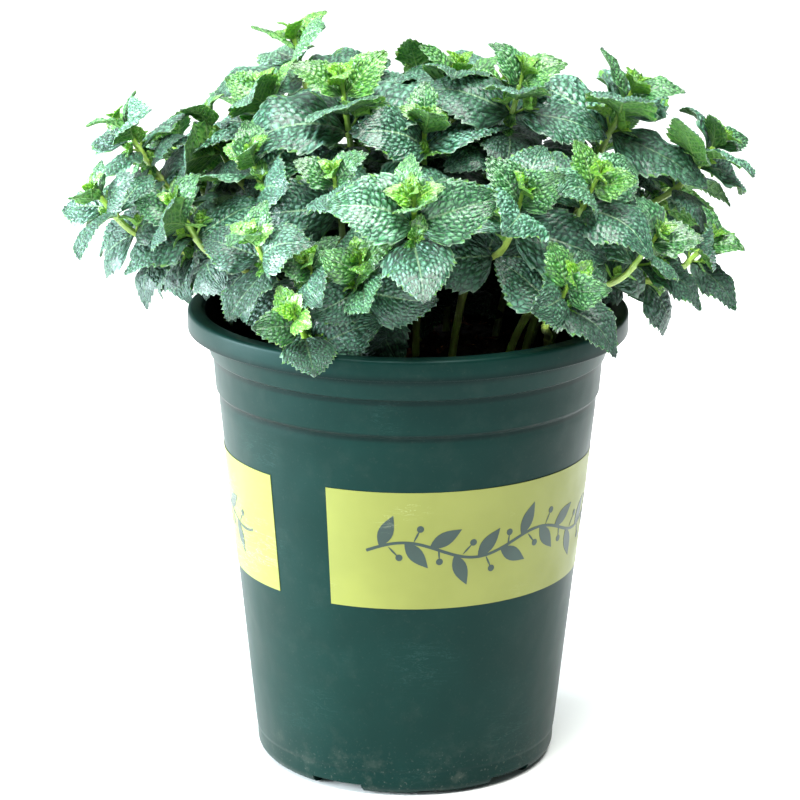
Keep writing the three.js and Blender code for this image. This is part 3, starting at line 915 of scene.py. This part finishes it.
def dress_soil(mix):
    """The top of the potting mix, crumbly and heaped a little, with loose crumbs and chips of bark on it."""
    dice = np.random.default_rng(5)
    radii = np.linspace(0, 1, 54)[1:] ** 0.8 * SOIL_RADIUS
    section = [(0.0, HEAP[1][0])] + [(r, np.interp(r, *HEAP)) for r in radii]
    section = section + [(SOIL_RADIUS, 150.0), (72.2, 149.0), (60.0, 60.0), (0.0, 60.0)]
    points, faces = turned(section[::-1], SOIL_TURNS)
    top = points[:, 2] > SOIL_EDGE - 1
    for i in np.flatnonzero(top):
        x, y, z = points[i]
        edge = 1 - soft_step(66, SOIL_RADIUS, math.hypot(x, y))
        rough = noise.fractal(Vector((x, y, 3.0)) / 9, 1.0, 2.0, 5)
        clods = noise.voronoi(Vector((x, y, 0.0)) / 4.6)[0][0]
        points[i, 2] = z + (1.5 * rough - 1.3 * clods + 0.6) * (0.35 + 0.65 * edge)
    parts = [(points, faces)]
    shades = [np.where(top, 0.2 + 0.3 * dice.random(len(points)), 0.1)]
    for _ in range(CRUMBS):
        r, a = 72 * math.sqrt(dice.random()), dice.uniform(0, 2 * math.pi)
        bark = dice.random() < 0.16
        size = dice.uniform(0.9, 2.0) if bark else dice.uniform(0.5, 1.4)
        stretch = dice.uniform((1.4, 0.7, 0.3), (2.6, 1.1, 0.5)) if bark else (1, 1, 0.8)
        if r + size * stretch[0] > 72.5:
            continue
        corners, sides = hull_faces(rough_lump(dice, size, stretch))
        z = np.interp(r, *HEAP) + dice.uniform(-0.3, 0.7)
        parts.append((corners + [r * math.cos(a), r * math.sin(a), z], sides))
        shades.append(np.full(len(corners), 1.0 if bark else dice.uniform(0.3, 0.75)))
    soil = plain_piece("potting_mix", *gather(parts), mix)
    paint(soil.data, "lump", "POINT", np.repeat(np.concatenate(shades), 4))
    soil.data.set_sharp_from_angle(angle=math.radians(45))
    settle(soil, "potting_mix", "soil")


# ---- Finishes ----


def tone(r, g, b):
    """A colour as it looks on a screen, 0 to 255, turned into the shader's linear one."""
    shares = [c / 255 for c in (r, g, b)]
    return (*(c / 12.92 if c <= 0.04045 else ((c + 0.055) / 1.055) ** 2.4 for c in shares), 1.0)


class Value:
    """One output of a node. Adding, multiplying and the like make the node that does so."""

    def __init__(self, recipe, socket):
        self.recipe, self.socket = recipe, socket

    def __add__(self, other):
        return self.recipe.math("ADD", self, other)

    def __sub__(self, other):
        return self.recipe.math("SUBTRACT", self, other)

    def __rsub__(self, other):
        return self.recipe.math("SUBTRACT", other, self)

    def __mul__(self, other):
        return self.recipe.math("MULTIPLY", self, other)

    def __rtruediv__(self, other):
        return self.recipe.math("DIVIDE", other, self)

    def __abs__(self):
        return self.recipe.math("ABSOLUTE", self)


class Recipe:
    """A node tree while it is put together. Any input takes a number, a colour or a Value."""

    def __init__(self, tree):
        self.tree = tree

    def feed(self, socket, value):
        if isinstance(value, Value):
            self.tree.links.new(value.socket, socket)
        elif value is not None:
            socket.default_value = value

    def node(self, kind, settings=(), first=(), **inputs):
        """A new node's outputs. Its inputs are given in order, None to leave one alone, or by name."""
        made = self.tree.nodes.new("ShaderNode" + kind)
        for key, value in dict(settings).items():
            setattr(made, key, value)
        for socket, value in zip(made.inputs, first):
            self.feed(socket, value)
        for key, value in inputs.items():
            self.feed(made.inputs[key.replace("_", " ")], value)
        return [Value(self, socket) for socket in made.outputs]

    def math(self, operation, *values):
        return self.node("Math", {"operation": operation}, values)[0]

    def step(self, value, start, end):
        """A value turned smoothly from 0 to 1 as it goes from start to end."""
        return self.node("MapRange", {"interpolation_type": "SMOOTHSTEP"}, (value, start, end))[0]

    def blend(self, share, a, b, kind="MIX"):
        first = (share, *[None] * 5, a, b)
        return self.node("Mix", {"data_type": "RGBA", "blend_type": kind}, first)[2]

    def noise(self, **inputs):
        inputs.setdefault("Vector", self.place())
        return self.node("TexNoise", **inputs)[0]

    def split(self, vector):
        return self.node("SeparateXYZ", Vector=vector)

    def grown(self, name):
        """The four values of a piece's attribute."""
        colour, _, _, alpha = self.node("Attribute", {"attribute_name": name})
        return (*self.split(colour), alpha)

    def place(self):
        return self.node("TexCoord")[3]

    def raised(self, height, depth_mm):
        return self.node("Bump", Height=height, Distance=depth_mm * MM, Strength=1.0)[0]


def effect(name, output, **inputs):
    """A node group with named numbers to set, before it is filled in, and its one output."""
    group = bpy.data.node_groups.new(name, "ShaderNodeTree")
    number = {"socket_type": "NodeSocketFloat"}
    for label, value in inputs.items():
        socket = group.interface.new_socket(label.replace("_", " "), in_out="INPUT", **number)
        socket.default_value = value
    group.interface.new_socket(output, in_out="OUTPUT", **number)
    recipe = Recipe(group)
    taken = [Value(recipe, socket) for socket in group.nodes.new("NodeGroupInput").outputs]
    return recipe, taken[: len(inputs)], group.nodes.new("NodeGroupOutput").inputs[0]


def use(recipe, group, **inputs):
    """The output of an effect, with its numbers set."""
    made = recipe.tree.nodes.new("ShaderNodeGroup")
    made.node_tree = bpy.data.node_groups[group]
    for key, value in inputs.items():
        made.inputs[key.replace("_", " ")].default_value = value
    return Value(recipe, made.outputs[0])


def make_effects():
    """The effects that several finishes share."""
    r, (size, detail), out = effect("cloudy tone", "Share", Size_mm=10.0, Detail=4.0)
    r.feed(out, r.step(r.noise(Scale=1000.0 / size, Detail=detail, Roughness=0.55), 0.3, 0.7))

    r, (size, depth), out = effect("fine tooth", "Height", Size_mm=0.5, Depth=0.5)
    r.feed(out, r.noise(Scale=1000.0 / size, Detail=2.0, Roughness=0.6) * depth)

    r, (amount, foot_mm), out = effect("settled dust", "Share", Amount=0.5, Foot_height_mm=30.0)
    near_foot = r.step(r.split(r.place())[2] * 1000.0, foot_mm, 0.0)
    patches = r.step(r.noise(Scale=90.0, Detail=6.0, Roughness=0.7), 0.48, 0.75)
    specks = r.step(r.noise(Scale=900.0, Detail=2.0), 0.62, 0.72)
    r.feed(out, (patches + specks) * 0.6 * (near_foot * 0.8 + 0.12) * amount)

    r, (amount,), out = effect("hairline scuffs", "Share", Amount=0.5)
    x, y, z = r.split(r.place())
    wrapped = r.node("CombineXYZ", X=r.math("ARCTAN2", y, x) * 1.6, Y=z * 130.0)[0]
    bent = r.noise(Vector=wrapped, Scale=2.6, Detail=5.0, Roughness=0.65, Distortion=0.6)
    kept = r.step(r.noise(Scale=28.0, Detail=2.0), 0.52, 0.66)
    r.feed(out, r.step(abs(bent - 0.5), 0.012, 0.0) * kept * amount)


def finish(name, **constants):
    """A material, the recipe for its nodes, and the sockets of its Principled shader."""
    material = bpy.data.materials.new(name)
    material.use_nodes = True
    recipe = Recipe(material.node_tree)
    shader = material.node_tree.nodes["Principled BSDF"]
    for key, value in constants.items():
        shader.inputs[key.replace("_", " ")].default_value = value
    return material, recipe, shader.inputs


def mint_finish():
    """The plant: blistered leaves with painted shade in the vein grooves and a painted highlight on the
    blisters, lime when young, painted darker low down, and pale stalks."""
    material, r, shader = finish(
        "mint", Specular_IOR_Level=0.8, Specular_Tint=(0.74, 0.95, 0.95, 1.0), Coat_Roughness=0.2,
        Sheen_Weight=0.08, Sheen_Roughness=0.4, Sheen_Tint=(0.8, 0.93, 1.0, 1.0),
        Subsurface_Weight=0.12, Subsurface_Radius=(0.5, 1.0, 0.2), Subsurface_Scale=0.0016,
    )
    age, puff, own, under = r.grown("growth")
    stalk, margin, gloom, _ = r.grown("habit")
    vein_run, vein_out, _ = r.split(r.node("UVMap", {"uv_map": "veins"})[0])
    blade_run, blade_side, _ = r.split(r.node("UVMap", {"uv_map": "blade"})[0])
    across = abs((blade_side - 0.5) * 2.0)
    cloud = use(r, "cloudy tone", Size_mm=7.0, Detail=3.0)
    patch = use(r, "cloudy tone", Size_mm=3.2, Detail=1.0)
    fine = use(r, "fine tooth", Size_mm=0.62, Depth=0.55)
    tiny = use(r, "fine tooth", Size_mm=0.28, Depth=0.2)

    # The net of veins, uneven, and a blister in each of its meshes.
    bend_run, bend_out, _ = r.split(r.node("TexNoise", Vector=r.place(), Scale=430.0, Detail=2.0)[1])
    row = vein_run + (bend_run - 0.5) * 0.7
    cell = vein_out + (bend_out - 0.5) * 0.7
    shift = r.math("FLOORED_MODULO", r.math("FLOOR", row), 2.0) * 0.5
    spot = r.node("CombineXYZ", X=row - 0.09 + r.math("FLOOR", own * 37.0), Y=cell + shift - 0.09)[0]

    def meshes(scale=1.0, uneven=0.82, **settings):
        settings["voronoi_dimensions"] = "2D"
        return r.node("TexVoronoi", settings, Vector=spot, Scale=scale, Randomness=uneven)

    from_middle, mesh_tone = meshes()[:2]
    blister = r.step(from_middle, 0.62, 0.06)
    meshed = r.step(meshes(feature="DISTANCE_TO_EDGE")[0], 0.03, 0.17)
    bulge = r.step(meshes(0.46, 1.0)[0], 0.75, 0.1)
    side_vein = r.step(abs(r.math("FRACT", vein_run * 0.5) - 0.5), 0.44, 0.49)
    half_midrib = 0.062 - blade_run * 0.045
    midrib = r.step(across, half_midrib, half_midrib * 0.4)

    # Painted highlight: the blistered tops are painted pale as if they catch the light, some more than
    # others.
    high = blister * 0.46 + puff * 0.36 + bulge * 0.2 + (fine - 0.42) * 0.5
    high = high + (patch - 0.5) * 0.34 + (r.split(mesh_tone)[0] - 0.5) * 0.3
    blister_highlight = r.step(high, 0.1, 0.78) * (meshed * 0.9 + 0.1) * (1.0 - gloom) * (own * 0.7 + 0.5)

    youth = r.step(age, 0.56, 0.04)
    prime = r.step(age, 0.88, 0.4)

    def by_age(old, full, young):
        return r.blend(youth, r.blend(prime, tone(*old), tone(*full)), tone(*young))

    # Painted shade and highlight: the grooves of the net get a dark tone, and the blister tops a pale, bluish
    # one.
    groove_shade_tone = by_age((4, 44, 27), (12, 74, 14), (72, 142, 4))
    slope = by_age((32, 103, 66), (56, 136, 38), (112, 182, 12))
    highlight_tone = by_age((134, 186, 160), (144, 202, 108), (158, 210, 48))
    highlight_tone = r.blend(own * 0.55, highlight_tone, tone(216, 232, 250), "MULTIPLY")
    face = r.blend(blister_highlight, r.blend(meshed, groove_shade_tone, slope), highlight_tone)
    face = r.blend(cloud * 0.35, face, tone(205, 222, 190), "MULTIPLY")
    face = r.blend(r.math("FRACT", own * 7.3) * 0.5, face, tone(132, 158, 146), "MULTIPLY")
    face = r.blend(side_vein * 0.5, face, by_age((40, 76, 56), (70, 124, 52), (150, 200, 60)))
    face = r.blend(midrib * 0.85, face, r.blend(youth, tone(140, 172, 132), tone(186, 218, 92)))
    edge = r.blend(youth, tone(170, 204, 168), tone(176, 212, 84))
    face = r.blend(r.step(margin, 0.94, 1.0) * 0.4, face, edge)

    # Underside: smoother and more green, with its veins raised and pale.
    back = r.blend(cloud * 0.6, tone(66, 124, 30), tone(92, 150, 56))
    back = r.blend(youth, back, tone(140, 194, 34))
    back = r.blend(meshed * 0.3 + 0.7, tone(150, 192, 96), back)
    back = r.blend(blister * 0.5, back, tone(150, 190, 140), "MULTIPLY")
    back = r.blend(r.math("MAXIMUM", side_vein, midrib) * 0.55, back, tone(160, 198, 104))

    # Stalks: pale, streaked along, a little red where they are old.
    grain = r.node("CombineXYZ", X=blade_run * 5.0, Y=blade_side * 26.0)[0]
    streak = r.step(r.noise(Vector=grain, Scale=1.0, Detail=4.0), 0.35, 0.68)
    old_stalk = r.blend(streak, tone(160, 180, 78), tone(176, 192, 98))
    old_stalk = r.blend(own * cloud * 0.4, old_stalk, tone(126, 84, 58))
    stalk_tone = r.blend(r.step(age, 0.2, 0.85), tone(156, 200, 66), old_stalk)

    whole = r.blend(stalk, r.blend(under, face, back), stalk_tone)
    # Painted shade: leaves low down or deep in the plant are darkened, as if in shadow.
    r.feed(shader["Base Color"], r.blend(gloom * 0.9, whole, tone(74, 112, 66), "MULTIPLY"))
    r.feed(shader["Roughness"], fine * 0.18 + under * 0.16 + gloom * 0.26 + 0.36)
    facing = 1.0 - under
    r.feed(shader["Coat Weight"], facing * (0.62 - gloom * 0.6))
    height = fine * 0.34 + tiny * 0.12 + (blister + bulge) * 1.35
    ribs = r.math("MAXIMUM", side_vein, midrib * 1.6) - blister * 0.8
    height = height * facing + tiny * 0.2 + ribs * under
    height = height * (1.0 - stalk * 0.7) + stalk * streak * 0.3
    r.feed(shader["Normal"], r.raised(height, 0.55))
    return material


SHADE_BANDS = [(147.4, 2.3), (161.6, 1.9), (171.2, 3.6)]  # bands of painted shade: height on the wall, and reach up and down


def pot_finish():
    """Thin moulded plastic, dark blue-green, with a soft sheen. Painted shade darkens bands under the
    steps of the wall and under the rim, as if in their shadow."""
    material, r, shader = finish("pot plastic", Specular_IOR_Level=0.1, Specular_Tint=(0.58, 0.93, 0.96, 1.0))
    cloud = use(r, "cloudy tone", Size_mm=34.0, Detail=3.0)
    waves = use(r, "cloudy tone", Size_mm=16.0, Detail=1.0)
    tooth = use(r, "fine tooth", Size_mm=0.8, Depth=0.3)
    dust = use(r, "settled dust", Amount=0.42, Foot_height_mm=26.0)
    scuffs = use(r, "hairline scuffs", Amount=0.24)
    height_mm = r.split(r.place())[2] * 1000.0
    # Painted shade: the mask of the bands under the steps and under the rim.
    film = 0.0
    for middle, reach in SHADE_BANDS:
        film = r.math("MAXIMUM", film, r.step(abs(height_mm - middle), reach, 0.3 * reach))
    colour = r.blend(cloud, tone(7, 32, 28), tone(9, 36, 32))
    # The painted shade darkens the plastic in those bands.
    colour = r.blend(film * 0.75, colour, tone(3, 13, 11))
    colour = r.blend(scuffs, colour, tone(58, 88, 84))
    r.feed(shader["Base Color"], r.blend(dust, colour, tone(110, 112, 102)))
    r.feed(shader["Roughness"], cloud * 0.05 + r.math("MAXIMUM", dust, scuffs) * 0.3 + 0.36)
    r.feed(shader["Normal"], r.raised(tooth * 0.03 + waves * 0.1, 1.0))
    return material


def label_finish(name, pale, deep):
    """Thin printed film, a little glossier than the pot."""
    material, r, shader = finish(name, Specular_IOR_Level=0.45)
    cloud = use(r, "cloudy tone", Size_mm=26.0, Detail=3.0)
    scuffs = use(r, "hairline scuffs", Amount=0.3)
    r.feed(shader["Base Color"], r.blend(scuffs, r.blend(cloud, pale, deep), tone(232, 236, 190)))
    r.feed(shader["Roughness"], r.math("MAXIMUM", cloud, scuffs) * 0.12 + 0.38)
    r.feed(shader["Normal"], r.raised(use(r, "fine tooth", Size_mm=0.5, Depth=0.1), 0.012))
    return material


def mix_finish():
    """Dark peat with crumbs and chips of reddish bark."""
    material, r, shader = finish("potting mix", Specular_IOR_Level=0.25)
    lump = r.grown("lump")[0]
    cloud = use(r, "cloudy tone", Size_mm=5.0, Detail=5.0)
    tooth = use(r, "fine tooth", Size_mm=0.9, Depth=0.4)
    drawn_out = r.node("Mapping", Vector=r.place(), Scale=(1.0, 0.25, 1.0))[0]
    fibres = r.noise(Vector=drawn_out, Scale=700.0, Detail=5.0, Roughness=0.7)
    peat = r.blend(cloud, tone(26, 19, 14), tone(52, 38, 27))
    crumb = r.blend(r.step(lump, 0.3, 0.75), peat, tone(70, 52, 38))
    bark = r.blend(r.step(fibres, 0.4, 0.62), tone(74, 40, 26), tone(124, 76, 48))
    r.feed(shader["Base Color"], r.blend(r.step(lump, 0.85, 0.95), crumb, bark))
    r.feed(shader["Roughness"], cloud * 0.18 + 0.78)
    r.feed(shader["Normal"], r.raised(tooth + fibres * 0.7, 0.5))
    return material


def floor_finish():
    material, r, shader = finish("studio floor", Specular_IOR_Level=0.2, Roughness=0.7)
    cloud = use(r, "cloudy tone", Size_mm=400.0, Detail=2.0)
    r.feed(shader["Base Color"], r.blend(cloud, tone(249, 250, 250), tone(252, 252, 252)))
    return material


# ---- The studio ----

FLOOR_REACH = 6.0
BRIGHTEST = (-0.46, 0.25, 0.85)  # towards the brightest part of the ceiling
ROOM_TONES = (0.15, 0.17, 0.165, 1.0), (1.8, 1.9, 1.93, 1.0)
SEEN_TONE = (0.93, 0.945, 0.945, 1.0)
CAMERA_PLACE = (0, -1.2116, 0.4785)
CAMERA_PITCH, CAMERA_YAW, CAMERA_ROLL = 0.2710, -0.0024, 0.0064
SENSOR, LENS = 36.0, 145.422  # mm


def soft_light(name, place, target, size, power, colour):
    lamp = bpy.data.lights.new(name, "AREA")
    lamp.shape, lamp.size, lamp.size_y = "RECTANGLE", *size
    lamp.energy, lamp.color = power, colour
    made = placed_object(name, lamp)
    made.location = place
    made.rotation_euler = (Vector(target) - Vector(place)).to_track_quat("-Z", "Y").to_euler()


def set_camera():
    """A camera 1.21 m in front of the pot's axis and 0.48 m up, looking down by 15.5 degrees."""
    level = Vector((math.sin(CAMERA_YAW), math.cos(CAMERA_YAW), 0))
    forward = level * math.cos(CAMERA_PITCH) - Vector((0, 0, math.sin(CAMERA_PITCH)))
    right = Vector((level.y, -level.x, 0))
    up = right.cross(forward)
    axes = Matrix((swung(right, up, CAMERA_ROLL), swung(up, -right, CAMERA_ROLL), -forward)).transposed()
    camera = bpy.data.cameras.new("camera")
    camera.sensor_width, camera.lens = SENSOR, LENS
    camera.clip_start, camera.clip_end = 0.05, 30.0
    placed = placed_object("camera", camera)
    placed.matrix_world = Matrix.Translation(CAMERA_PLACE) @ axes.to_4x4()
    bpy.context.scene.camera = placed


def set_studio():
    e = FLOOR_REACH
    mesh = bpy.data.meshes.new("floor")
    mesh.from_pydata([(-e, -e, 0), (e, -e, 0), (e, e, 0), (-e, e, 0)], [], [[0, 1, 2, 3]])
    mesh.materials.append(floor_finish())
    placed_object("floor", mesh)

    # A ceiling brightest above and to the left. The rest of the room lights the plant dimly and looks pale.
    world = bpy.data.worlds.new("studio")
    world.use_nodes = True
    r = Recipe(world.node_tree)
    towards = r.node("VectorMath", {"operation": "DOT_PRODUCT"}, (r.node("TexCoord")[0], BRIGHTEST))[1]
    shade = r.blend(r.step(towards, 0.3, 0.95), *ROOM_TONES)
    shade = r.blend(r.node("LightPath")[0], shade, SEEN_TONE)
    r.feed(world.node_tree.nodes["Background"].inputs["Color"], shade)
    bpy.context.scene.world = world

    soft_light("window", (-1.48, -0.2, 0.34), (0, 0, 0.12), (1.2, 0.6), 90.0, (0.84, 0.95, 1.0))
    soft_light("top", (0.05, -0.45, 1.45), (0, 0, 0.22), (1.0, 1.0), 54.0, (0.98, 1.0, 0.95))
    bpy.context.scene.view_settings.view_transform = "Standard"
    set_camera()


# ---- Everything together ----


SHOOT_SEED, OLDER_SEED = 100, 700  # each shoot and each stem adds its place in its list


def dress_plant():
    stem_corners = {name: points_of(name) for name in STEM_NAMES}
    crowns = [read_crown(name, stem_corners) for name in CROWN_NAMES]
    mint = mint_finish()
    crowded = []
    for k, crown in enumerate(crowns):
        skin = dress_shoot(crown, np.random.default_rng(SHOOT_SEED + k))
        crowded.append(skin.tree())
        settle(skin.made(crown["name"].replace("leaves", "shoot"), mint), "leaf", crown["name"])
    for solid in ("pot", "soil"):
        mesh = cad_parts[solid].data
        corners = [tuple(v.co / MM) for v in mesh.vertices]
        crowded.append(BVHTree.FromPolygons(corners, [tuple(p.vertices) for p in mesh.polygons]))
    box = limits()
    for k, name in enumerate(STEM_NAMES):
        stem = read_stem(stem_corners[name], [c for c in crowns if c["stem"] == name])
        settle(dress_stem(stem).made(name.replace("stem", "stalk"), mint), "stem", name)
        older = lower_leaves(stem, np.random.default_rng(OLDER_SEED + k), crowded, box)
        if older.count:
            settle(older.made(name.replace("stem", "older_leaves"), mint), "leaf")


make_effects()
dress_plant()
dress_pot(pot_finish())
dress_labels(
    label_finish("label film", tone(114, 119, 41), tone(108, 113, 38)),
    label_finish("label print", tone(12, 46, 40), tone(9, 38, 33)),
)
dress_soil(mix_finish())
set_studio()
